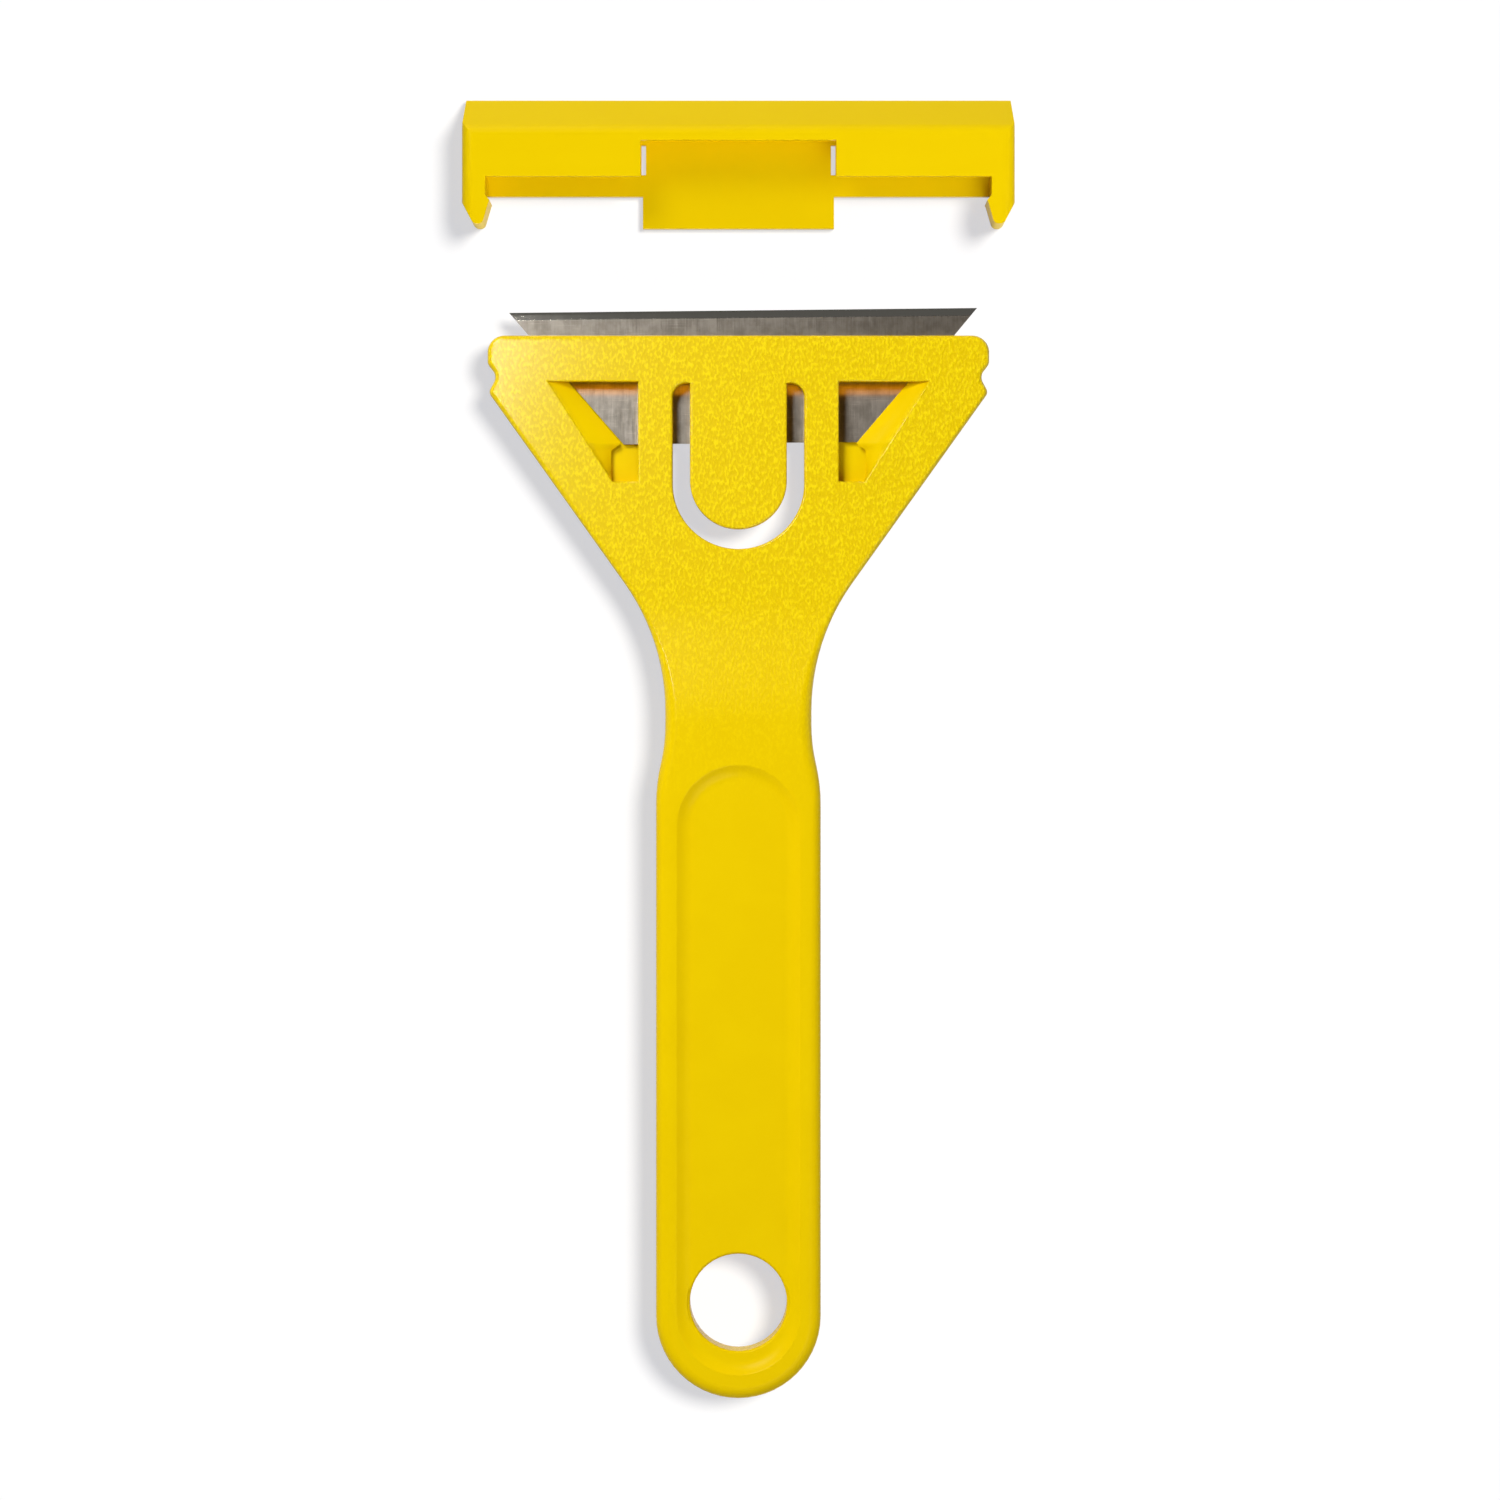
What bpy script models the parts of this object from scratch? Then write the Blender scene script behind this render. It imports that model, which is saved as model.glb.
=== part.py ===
"""Glass scraper: a flat plastic body with a clamping tongue, a trapezoid blade and a cap that clips on.

The scraper lies on its back, blade forward along +Y, with the cap taken off and laid in front of it.
"""
import math

import bmesh
import bpy
from mathutils import Matrix, Vector

# All lengths are in metres. A name that ends in _BACK is a distance behind the head's front edge,
# and one that ends in _DEPTH a distance behind the cap's front edge.

# Body outline
BODY_LENGTH = 0.1381
LOBE_WIDTH = 0.0652
FRONT_CORNER_RADIUS = 0.0022
LOBE_BACK = 0.0037
LOBE_RADIUS = 0.0010
NOTCH_WIDTH = 0.0627
NOTCH_BACK = 0.0053
NOTCH_RADIUS = 0.0014
SHOULDER_WIDTH = 0.0650
SHOULDER_BACK = 0.0074
SHOULDER_RADIUS = 0.0009
FLANK_ANGLE = math.radians(35.5)
NECK_WIDTH_SHARE = 0.888
NECK_RADIUS = 0.0287
NECK_STRAIGHT = 0.0017
NECK_BLEND_LENGTH = 0.0104
NECK_BLEND_SHARE = 0.98
HANDLE_WIDTH = 0.0214

# Body thickness: the head is thinner than the handle, and both change over the neck
HANDLE_THICKNESS = 0.0070
HANDLE_EDGE_RADIUS = 0.0016
HEAD_EDGE_RADIUS = 0.0006
HEAD_FLOOR = 0.0015
HEAD_ROOF = 0.0017
RAMP_START_BACK = 0.0350
RAMP_END_BACK = 0.0510

# Grip recess, the same on both faces, and the hanging hole inside it
RECESS_RIM = 0.00255
RECESS_FRONT_BACK = 0.0557
RECESS_END_BACK = 0.1351
RECESS_WALL = 0.0021
RECESS_SINK = 0.0008
RECESS_WALL_BIAS = 0.6
RECESS_STEPS = 8
HANGING_HOLE_DIAMETER = 0.0126
HANGING_HOLE_BACK = 0.1256
HANGING_HOLE_EDGE_RADIUS = 0.0004

# Windows in the head's roof
WINDOW_FRONT_BACK = 0.0060
WINDOW_END_BACK = 0.0190
WINDOW_INNER_SHARE = 0.777
WINDOW_FRONT_SPREAD = 0.0012
WINDOW_END_TUCK = 0.0004
WINDOW_LEDGE = 0.0014
WINDOW_END_LEDGE = 0.0002
WINDOW_LEDGE_FADE = 0.0011
WINDOW_EDGE_RADIUS = 0.00025

# Clamping tongue and the round-ended opening that it stands in
TONGUE_ROOT_BACK = 0.0062
TONGUE_WIDTH = 0.0126
TONGUE_TIP_BACK = 0.0252
SLOT_SIDE_GAP = 0.00225
SLOT_TIP_GAP = 0.00255
SLOT_CORNER_RADIUS = 0.0018
SLOT_EDGE_RADIUS = 0.00035
TONGUE_ROOT_GAP = 0.0003
TONGUE_EDGE_RADIUS = 0.0003

# Blade
BLADE_LENGTH = 0.0610
BLADE_HEIGHT = 0.0173
BLADE_THICKNESS = 0.0006
BLADE_END_ANGLE = math.radians(49.5)
BLADE_GRIND = 0.0010
BLADE_EDGE_LAND = 0.00006
BLADE_EXPOSED = 0.0034
BLADE_SIDE_SHIFT = 0.0007
BLADE_SKEW = math.radians(0.6)
BLADE_FACE_CLEARANCE = 0.0002
BLADE_END_CLEARANCE = 0.0008

# Cap
CAP_WALL = 0.0012
CAP_HEAD_CLEARANCE = 0.00025
CAP_END_WALL = 0.00305
CAP_NOSE_DEPTH = 0.0043
CAP_NOSE_TAPER = 0.0003
CAP_NOSE_TOP_RADIUS = 0.0016
CAP_NOSE_FOOT_HEIGHT = 0.0011
CAP_NOSE_FOOT_RADIUS = 0.0010
CAP_SHOULDER_RADIUS = 0.0015
CAP_FOOT_RADIUS = 0.0004
CAP_EDGE_RADIUS = 0.0002
CAP_ROOF_DEPTH = 0.0106
CAP_THUMB_DEPTH = 0.0059
CAP_THUMB_WIDTH = 0.0254
CAP_FLOOR_DEPTH = 0.0126
CAP_TAB_DEPTH = 0.0168
CAP_TAB_WIDTH = 0.0250
CAP_SLIT_WIDTH = 0.0006
CAP_SLIT_FRONT_DEPTH = 0.0059
CAP_SLIT_END_DEPTH = 0.0098
CLIP_BUMP_START_DEPTH = 0.0130
CLIP_BUMP_DEPTH = 0.0137
CLIP_BUMP_HEIGHT = 0.0006
CLIP_BUMP_RADIUS = 0.0006
CLIP_POINT_DEPTH = 0.0177
CLIP_POINT_INSET = 0.0020
CLIP_TIP_RADIUS = 0.0008
CLIP_CHAMFER_DEPTH = 0.0138
CLIP_ROOT_GAP = 0.0003
CAP_TRAVEL = 0.0227

# Fineness of round shapes, and how far a cutter reaches past what it cuts
ARC_STEP = math.radians(8.0)
LONGEST_CHORD = 0.0015
EDGE_STEPS = 4
RIM_STEPS = 3
RIM_LIP = 0.00002
HOLE_SIDES = 48
WINDOW_STRIPS = 4
OVERRUN = 0.0010

# Levels and places that follow from the sizes above
POCKET_HEIGHT = BLADE_THICKNESS + 2 * BLADE_FACE_CLEARANCE
HEAD_THICKNESS = HEAD_FLOOR + POCKET_HEIGHT + HEAD_ROOF
HEAD_BOTTOM = CAP_WALL + CAP_HEAD_CLEARANCE
HEAD_TOP = HEAD_BOTTOM + HEAD_THICKNESS
POCKET_BOTTOM = HEAD_BOTTOM + HEAD_FLOOR
POCKET_TOP = POCKET_BOTTOM + POCKET_HEIGHT
CAP_HEIGHT = HEAD_TOP + CAP_HEAD_CLEARANCE + CAP_WALL
CAP_INNER = LOBE_WIDTH / 2 + CAP_HEAD_CLEARANCE
CAP_OUTER = CAP_INNER + CAP_END_WALL
CAP_SEATED_LEAD = CLIP_BUMP_DEPTH - NOTCH_BACK
CAP_LEAD = CAP_SEATED_LEAD + CAP_TRAVEL
FRONT_Y = (BODY_LENGTH - CAP_LEAD) / 2
NECK_WIDTH = HANDLE_WIDTH * NECK_WIDTH_SHARE

PLASTIC_YELLOW = (0.88, 0.62, 0.004, 1.0)
STEEL_GREY = (0.42, 0.40, 0.38, 1.0)


def clear_scene():
    for old in list(bpy.data.objects):
        bpy.data.objects.remove(old, do_unlink=True)


def make_material(name, colour, roughness, metallic):
    material = bpy.data.materials.new(name)
    material.use_nodes = True
    shader = material.node_tree.nodes["Principled BSDF"]
    shader.inputs["Base Color"].default_value = colour
    shader.inputs["Roughness"].default_value = roughness
    shader.inputs["Metallic"].default_value = metallic
    material.diffuse_color = colour
    return material


def back(distance):
    """The Y of a place that lies a distance behind the head's front edge."""
    return FRONT_Y - distance


def rounded_path(corners):
    """A path through corners given as (x, y, radius); a corner of radius zero stays sharp."""
    path = []
    count = len(corners)
    for number, (x, y, radius) in enumerate(corners):
        here = Vector((x, y))
        if radius == 0:
            path.append(here)
            continue
        to_last = (Vector(corners[number - 1][:2]) - here).normalized()
        to_next = (Vector(corners[(number + 1) % count][:2]) - here).normalized()
        half_angle = to_last.angle(to_next) / 2
        turn = math.pi - 2 * half_angle
        centre = here + (to_last + to_next).normalized() * (radius / math.sin(half_angle))
        arm = here + to_last * (radius / math.tan(half_angle)) - centre
        side = 1 if to_last.cross(to_next) < 0 else -1
        steps = max(2, math.ceil(turn / ARC_STEP), math.ceil(turn * radius / LONGEST_CHORD))
        for step in range(steps + 1):
            spin = Matrix.Rotation(side * turn * step / steps, 2)
            path.append(centre + spin @ arm)
    return path


def quarter_turn(centre, radius, steps):
    """The right-hand quarter of a round end, from its widest point towards the centre line."""
    turns = [math.pi / 2 * step / steps for step in range(steps)]
    return [Vector((radius * math.cos(turn), centre - radius * math.sin(turn))) for turn in turns]


def mirrored(half):
    """A closed outline from its right half, given from front to back."""
    left = [Vector((-point.x, point.y)) for point in reversed(half) if point.x > 0]
    return list(half) + left


def new_object(name, mesh_data, material, origin=Vector((0, 0, 0)), parent=None):
    """An object from a bmesh that is built in world places, with its origin put where it turns."""
    bmesh.ops.recalc_face_normals(mesh_data, faces=mesh_data.faces)
    bmesh.ops.translate(mesh_data, vec=-origin, verts=mesh_data.verts)
    mesh = bpy.data.meshes.new(name)
    mesh_data.to_mesh(mesh)
    mesh_data.free()
    piece = bpy.data.objects.new(name, mesh)
    bpy.context.collection.objects.link(piece)
    piece.location = origin
    if material:
        mesh.materials.append(material)
    if parent:
        piece.parent = parent
        piece.location = origin - parent.location
    return piece


def loft(rings, close_ends):
    """Joins rings of points into a skin and closes both ends with the given function."""
    mesh_data = bmesh.new()
    rows = [[mesh_data.verts.new(point) for point in ring] for ring in rings]
    for lower, upper in zip(rows, rows[1:]):
        for number in range(len(lower)):
            after = (number + 1) % len(lower)
            mesh_data.faces.new((lower[number], lower[after], upper[after], upper[number]))
    for row in (rows[0], rows[-1]):
        close_ends(mesh_data, row)
    return mesh_data


def loft_cutter(name, rings):
    """A loft whose sides may twist: they are split into flat triangles, and the ends stay whole."""
    solid = loft(rings, close_flat)
    sides = [face for face in solid.faces if len(face.verts) == 4]
    bmesh.ops.triangulate(solid, faces=sides)
    return new_object(name, solid, None)


def close_flat(mesh_data, row):
    mesh_data.faces.new(row)


def close_across(mesh_data, row):
    """Closes a mirrored ring, whose odd point is its tail, with strips from side to side."""
    half = len(row) // 2
    for number in range(half - 1):
        mesh_data.faces.new((row[number], row[number + 1], row[-number - 2], row[-number - 1]))
    mesh_data.faces.new((row[half - 1], row[half], row[half + 1]))


def prism(outline, bottom, top):
    """A flat outline, raised from one level to another."""
    rings = [[Vector((point.x, point.y, level)) for point in outline] for level in (bottom, top)]
    return loft(rings, close_flat)


def bar_along_x(profile, half_width):
    """A profile of (y, z) points, drawn out along X to both sides."""
    rings = [[Vector((x, point.x, point.y)) for point in profile] for x in (-half_width, half_width)]
    return loft(rings, close_flat)


def block(low, high):
    outline = [Vector(corner) for corner in
               ((low[0], low[1]), (high[0], low[1]), (high[0], high[1]), (low[0], high[1]))]
    return prism(outline, low[2], high[2])


def as_cutter(cutter):
    cutter.hide_render = True
    cutter.display_type = "WIRE"
    return cutter


def cut(piece, cutter, operation="DIFFERENCE"):
    modifier = piece.modifiers.new(cutter.name, "BOOLEAN")
    modifier.operation = operation
    modifier.solver = "EXACT"
    modifier.object = as_cutter(cutter)


def round_edges(piece, radius, sharper_than=math.radians(40.0), segments=2):
    modifier = piece.modifiers.new("edges", "BEVEL")
    modifier.width = radius
    modifier.segments = segments
    modifier.limit_method = "ANGLE"
    modifier.angle_limit = sharper_than


def shade_round(piece, angle=math.radians(35.0)):
    piece.data.shade_smooth()
    piece.data.set_sharp_from_angle(angle=angle)


def body_half_outline():
    """The right half of the body's outline, from the front corner back to the handle's end."""
    flank_run = (SHOULDER_WIDTH - NECK_WIDTH) / 2 / math.tan(FLANK_ANGLE)
    step = (HANDLE_WIDTH - NECK_WIDTH) / 2
    arm = (NECK_BLEND_LENGTH ** 2 + step ** 2) / (4 * NECK_BLEND_LENGTH)
    blend_radius = NECK_BLEND_SHARE * arm * NECK_BLEND_LENGTH / step
    flank_end = SHOULDER_BACK + flank_run
    neck_end = flank_end + NECK_RADIUS * math.tan(FLANK_ANGLE / 2) + NECK_STRAIGHT
    handle_back = neck_end + NECK_BLEND_LENGTH
    corners = [
        (0.0, 0.0, 0.0),
        (LOBE_WIDTH / 2, 0.0, FRONT_CORNER_RADIUS),
        (LOBE_WIDTH / 2, LOBE_BACK, LOBE_RADIUS),
        (NOTCH_WIDTH / 2, NOTCH_BACK, NOTCH_RADIUS),
        (SHOULDER_WIDTH / 2, SHOULDER_BACK, SHOULDER_RADIUS),
        (NECK_WIDTH / 2, flank_end, NECK_RADIUS),
        (NECK_WIDTH / 2, neck_end + arm, blend_radius),
        (HANDLE_WIDTH / 2, handle_back - arm, blend_radius),
        (HANDLE_WIDTH / 2, BODY_LENGTH - HANDLE_WIDTH / 2, 0.0),
    ]
    path = rounded_path([(x, back(distance), radius) for x, distance, radius in corners])
    end_steps = math.ceil(math.pi / 2 / ARC_STEP) + 2
    end = quarter_turn(back(BODY_LENGTH) + HANDLE_WIDTH / 2, HANDLE_WIDTH / 2, end_steps)
    return path[1:] + end[1:] + [Vector((0.0, back(BODY_LENGTH)))]


def inward_directions(outline):
    """For each point of a closed outline, the inward way that keeps both its edges' distance."""
    ways = []
    for number, point in enumerate(outline):
        before = (point - outline[number - 1]).normalized()
        after = (outline[(number + 1) % len(outline)] - point).normalized()
        first = Vector((before.y, -before.x))
        second = Vector((after.y, -after.x))
        middle = (first + second).normalized()
        ways.append(middle / middle.dot(first))
    return ways


def handle_share(y):
    """How far the neck has changed from the head's section, at 0, to the handle's, at 1."""
    ramp = (back(RAMP_START_BACK) - y) / (RAMP_END_BACK - RAMP_START_BACK)
    ramp = min(max(ramp, 0.0), 1.0)
    return ramp * ramp * (3 - 2 * ramp)


def mix(first, second, share):
    return first + (second - first) * share


def make_body(material):
    """The plate, with rounded edges all round, before anything is cut into it."""
    outline = mirrored(body_half_outline())
    inward = inward_directions(outline)
    turns = [math.pi / 2 * step / EDGE_STEPS for step in range(EDGE_STEPS + 1)]
    rings = []
    for is_top in (False, True):
        for turn in turns:
            ring = []
            for point, way in zip(outline, inward):
                share = handle_share(point.y)
                radius = mix(HEAD_EDGE_RADIUS, HANDLE_EDGE_RADIUS, share)
                low = mix(HEAD_BOTTOM, 0.0, share)
                high = mix(HEAD_TOP, HANDLE_THICKNESS, share)
                if is_top:
                    inset = radius * (1 - math.cos(turn))
                    level = high - radius * (1 - math.sin(turn))
                else:
                    inset = radius * (1 - math.sin(turn))
                    level = low + radius * (1 - math.cos(turn))
                place = point + way * inset
                ring.append(Vector((place.x, place.y, level)))
            rings.append(ring)
    body = new_object("scraper_body", loft(rings, close_across), material)
    shade_round(body)
    return body


def stadium(half_width, front, end):
    """A long outline with two half-round ends, between two Y places."""
    steps = 2 * math.ceil(math.pi / 2 / ARC_STEP)
    right_back = quarter_turn(end + half_width, half_width, steps)
    right_front = [Vector((point.x, front + end - point.y)) for point in reversed(right_back)]
    half = [Vector((0.0, front))] + right_front + right_back + [Vector((0.0, end))]
    return mirrored(half)


def recess_cutter(name, face, outward):
    """A scoop with a flat floor and soft walls, tightly rounded at the rim and widely at the floor."""
    levels = [(0.0, face + outward * OVERRUN)]
    for step in range(RECESS_STEPS + 1):
        share = step / RECESS_STEPS
        drop = (RECESS_SINK + RIM_LIP) * (1 - math.cos(math.pi * share ** RECESS_WALL_BIAS)) / 2
        levels.append((RECESS_WALL * share, face + outward * (RIM_LIP - drop)))
    rings = []
    for inset, level in levels:
        outline = stadium(HANDLE_WIDTH / 2 - RECESS_RIM - inset, back(RECESS_FRONT_BACK) - inset,
                          back(RECESS_END_BACK) + inset)
        rings.append([Vector((point.x, point.y, level)) for point in outline])
    return new_object(name, loft(rings, close_flat), None)


def rim_profile(face, outward, radius):
    """Levels down through a rounded rim, each with how far the opening has widened there."""
    levels = [(radius, face + outward * OVERRUN), (radius, face + outward * RIM_LIP)]
    for step in range(1, RIM_STEPS + 1):
        turn = math.pi / 2 * step / RIM_STEPS
        levels.append((radius * (1 - math.sin(turn)), face - outward * radius * (1 - math.cos(turn))))
    return levels


def hanging_hole_cutter():
    """A round hole with a rounded rim on both floors of the recess."""
    centre = back(HANGING_HOLE_BACK)
    top = rim_profile(HANDLE_THICKNESS - RECESS_SINK, 1, HANGING_HOLE_EDGE_RADIUS)
    bottom = rim_profile(RECESS_SINK, -1, HANGING_HOLE_EDGE_RADIUS)
    rings = []
    for widening, level in top + bottom[::-1]:
        radius = HANGING_HOLE_DIAMETER / 2 + widening
        ring = []
        for side in range(HOLE_SIDES):
            turn = 2 * math.pi * side / HOLE_SIDES
            ring.append(Vector((radius * math.cos(turn), centre + radius * math.sin(turn), level)))
        rings.append(ring)
    return new_object("hanging_hole_cutter", loft(rings, close_flat), None)


def blade_half_length(distance):
    """Half the blade's length, a distance behind its cutting edge."""
    return BLADE_LENGTH / 2 - distance / math.tan(BLADE_END_ANGLE)


def pocket_half_width(distance_back):
    """The pocket is slanted like the blade as far as the blade's back edge, and then straight."""
    spare = BLADE_END_CLEARANCE / math.sin(BLADE_END_ANGLE)
    return blade_half_length(min(distance_back + BLADE_EXPOSED, BLADE_HEIGHT)) + spare


def pocket_cutter():
    """The blade's pocket, open at the head's front."""
    places = (-OVERRUN, BLADE_HEIGHT - BLADE_EXPOSED, WINDOW_END_BACK)
    half = [Vector((pocket_half_width(place), back(place))) for place in places]
    return new_object("pocket_cutter", prism(mirrored(half), POCKET_BOTTOM, POCKET_TOP), None)


def window_outline(side, share):
    """A window at a share of the way up from the pocket's roof to the head's face.

    Its outer side reaches in over the blade's end as a ledge, which is narrower behind the blade.
    """
    blade_back = BLADE_HEIGHT - BLADE_EXPOSED
    end_half_width = pocket_half_width(WINDOW_END_BACK)
    inner = end_half_width * WINDOW_INNER_SHARE
    front_above = pocket_half_width(WINDOW_FRONT_BACK) + WINDOW_FRONT_SPREAD
    end_above = end_half_width - WINDOW_END_TUCK
    ledge_end = blade_back + WINDOW_LEDGE_FADE
    edge = []
    for strip in range(WINDOW_STRIPS):
        edge.append((mix(WINDOW_FRONT_BACK, blade_back, strip / WINDOW_STRIPS), WINDOW_LEDGE))
    for strip in range(WINDOW_STRIPS):
        fade = (1 - math.cos(math.pi * strip / WINDOW_STRIPS)) / 2
        edge.append((mix(blade_back, ledge_end, strip / WINDOW_STRIPS),
                     mix(WINDOW_LEDGE, WINDOW_END_LEDGE, fade)))
    for strip in range(WINDOW_STRIPS + 1):
        edge.append((mix(ledge_end, WINDOW_END_BACK, strip / WINDOW_STRIPS), WINDOW_END_LEDGE))
    outline = [Vector((side * inner, back(WINDOW_FRONT_BACK)))]
    for place, ledge in edge:
        along = (place - WINDOW_FRONT_BACK) / (WINDOW_END_BACK - WINDOW_FRONT_BACK)
        above = mix(front_above, end_above, along)
        below = min(pocket_half_width(place) - ledge, above)
        outline.append(Vector((side * mix(below, above, share), back(place))))
    outline.append(Vector((side * inner, back(WINDOW_END_BACK))))
    return outline


def window_cutter(name, side):
    """A window in the roof, with its outer side sloping down to the pocket's side."""
    rings = []
    for widening, level in rim_profile(HEAD_TOP, 1, WINDOW_EDGE_RADIUS):
        outline = window_outline(side, 1.0)
        outward = [-side * widening * way for way in inward_directions(outline)]
        rings.append([Vector((point.x + way.x, point.y + way.y, level))
                      for point, way in zip(outline, outward)])
    foot = -POCKET_HEIGHT / 2 / HEAD_ROOF
    rim = 1 - WINDOW_EDGE_RADIUS / HEAD_ROOF
    for step in range(WINDOW_STRIPS - 1, -1, -1):
        share = mix(foot, rim, step / WINDOW_STRIPS)
        level = mix(POCKET_TOP, HEAD_TOP, share)
        rings.append([Vector((point.x, point.y, level)) for point in window_outline(side, share)])
    return loft_cutter(name, rings)


def slot_cutter():
    """The round-ended opening through the head, with the tongue standing in its roof."""
    half_width = TONGUE_WIDTH / 2 + SLOT_SIDE_GAP
    end = back(TONGUE_TIP_BACK + SLOT_TIP_GAP)
    front = rounded_path([
        (0.0, back(TONGUE_ROOT_BACK), 0.0),
        (half_width, back(TONGUE_ROOT_BACK), SLOT_CORNER_RADIUS),
        (half_width, end + half_width, 0.0),
    ])
    steps = 2 * math.ceil(math.pi / 2 / ARC_STEP)
    half = [Vector((TONGUE_WIDTH / 2, back(TONGUE_ROOT_BACK)))] + front[1:-1]
    half += quarter_turn(end + half_width, half_width, steps) + [Vector((0.0, end))]
    outline = mirrored(half)
    ways = inward_directions(outline)
    # the rim runs out where the tongue's root meets the wall, since the two are one face there
    ways[0] = ways[-1] = Vector((0.0, 0.0))
    rings = []
    for widening, level in rim_profile(HEAD_TOP, 1, SLOT_EDGE_RADIUS):
        rings.append([Vector((point.x - widening * way.x, point.y - widening * way.y, level))
                      for point, way in zip(outline, ways)])
    rings.append([Vector((point.x, point.y, HEAD_BOTTOM - OVERRUN)) for point in outline])
    return loft_cutter("slot_cutter", rings)


def make_tongue(material):
    """The clamp: a flat tongue level with the head's roof, free at its round tip."""
    root = back(TONGUE_ROOT_BACK + TONGUE_ROOT_GAP)
    tip = back(TONGUE_TIP_BACK)
    steps = 2 * math.ceil(math.pi / 2 / ARC_STEP)
    half = [Vector((TONGUE_WIDTH / 2, root))]
    half += quarter_turn(tip + TONGUE_WIDTH / 2, TONGUE_WIDTH / 2, steps)
    half += [Vector((0.0, tip))]
    hinge = Vector((0.0, back(TONGUE_ROOT_BACK + TONGUE_ROOT_GAP / 2), (POCKET_TOP + HEAD_TOP) / 2))
    solid = prism(mirrored(half), POCKET_TOP, HEAD_TOP)
    tongue = new_object("clamp_tongue", solid, material, origin=hinge)
    round_edges(tongue, TONGUE_EDGE_RADIUS)
    shade_round(tongue)
    return tongue


def make_blade(material):
    """A trapezoid blade, ground on both faces along its long side."""
    middle = POCKET_BOTTOM + BLADE_FACE_CLEARANCE + BLADE_THICKNESS / 2
    rings = []
    for height, grind in ((-BLADE_THICKNESS / 2, BLADE_GRIND), (-BLADE_EDGE_LAND / 2, 0.0),
                          (BLADE_EDGE_LAND / 2, 0.0), (BLADE_THICKNESS / 2, BLADE_GRIND)):
        half = [Vector((blade_half_length(grind), BLADE_HEIGHT / 2 - grind)),
                Vector((blade_half_length(BLADE_HEIGHT), -BLADE_HEIGHT / 2))]
        rings.append([Vector((point.x, point.y, height)) for point in mirrored(half)])
    blade = new_object("blade", loft(rings, close_flat), material)
    blade.location = (BLADE_SIDE_SHIFT, FRONT_Y + BLADE_EXPOSED - BLADE_HEIGHT / 2, middle)
    blade.rotation_euler = (0.0, 0.0, BLADE_SKEW)
    return blade


def cap_y(depth):
    """The Y of a place that lies a depth behind the cap's front edge."""
    return FRONT_Y + CAP_LEAD - depth


def cap_shell_profile():
    corners = [
        (cap_y(0.0), 0.0, CAP_FOOT_RADIUS),
        (cap_y(0.0), CAP_NOSE_FOOT_HEIGHT, CAP_NOSE_FOOT_RADIUS),
        (cap_y(CAP_NOSE_DEPTH), CAP_HEIGHT, CAP_NOSE_TOP_RADIUS),
        (cap_y(CAP_TAB_DEPTH), CAP_HEIGHT, 0.0),
        (cap_y(CAP_TAB_DEPTH), 0.0, 0.0),
    ]
    return rounded_path(corners)


def cap_hollow_profile():
    """Between floor and roof up to the roof's end, and open above from there on."""
    nose_tilt = math.atan2(CAP_NOSE_DEPTH, CAP_HEIGHT - CAP_NOSE_FOOT_HEIGHT)
    nose_wall = CAP_WALL / math.cos(nose_tilt)
    roof = CAP_HEIGHT - CAP_WALL
    corners = [
        (cap_y(nose_wall), CAP_WALL),
        (cap_y(nose_wall + (roof - CAP_WALL) * math.tan(nose_tilt)), roof),
        (cap_y(CAP_ROOF_DEPTH), roof),
        (cap_y(CAP_ROOF_DEPTH), CAP_HEIGHT + OVERRUN),
        (cap_y(CAP_TAB_DEPTH + OVERRUN), CAP_HEIGHT + OVERRUN),
        (cap_y(CAP_TAB_DEPTH + OVERRUN), CAP_WALL),
    ]
    return [Vector(corner) for corner in corners]


def cap_end_shape(carrier):
    """A bar along Y with the cap's width and height, and with rounded shoulders and feet."""
    corners = [
        (-CAP_OUTER, 0.0, CAP_FOOT_RADIUS),
        (-CAP_OUTER, CAP_HEIGHT, CAP_SHOULDER_RADIUS),
        (CAP_OUTER, CAP_HEIGHT, CAP_SHOULDER_RADIUS),
        (CAP_OUTER, 0.0, CAP_FOOT_RADIUS),
    ]
    rings = [[Vector((point.x, y, point.y)) for point in rounded_path(corners)]
             for y in (cap_y(-OVERRUN), cap_y(CLIP_POINT_DEPTH + OVERRUN))]
    return new_object("cap_end_shape", loft(rings, close_flat), None, origin=carrier.location,
                      parent=carrier)


def taper_nose(mesh_data, side):
    """Slants the end face in towards the front, over the nose's depth."""
    front = Vector((side * (CAP_OUTER - CAP_NOSE_TAPER), cap_y(0.0), 0.0))
    rear = Vector((side * CAP_OUTER, cap_y(CAP_NOSE_DEPTH), 0.0))
    outward = Vector((0, 0, side)).cross(rear - front)
    everything = mesh_data.verts[:] + mesh_data.edges[:] + mesh_data.faces[:]
    halves = bmesh.ops.bisect_plane(mesh_data, geom=everything, plane_co=front, plane_no=outward,
                                    clear_outer=True)
    rim = [item for item in halves["geom_cut"] if isinstance(item, bmesh.types.BMEdge)]
    bmesh.ops.contextual_create(mesh_data, geom=rim)


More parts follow.
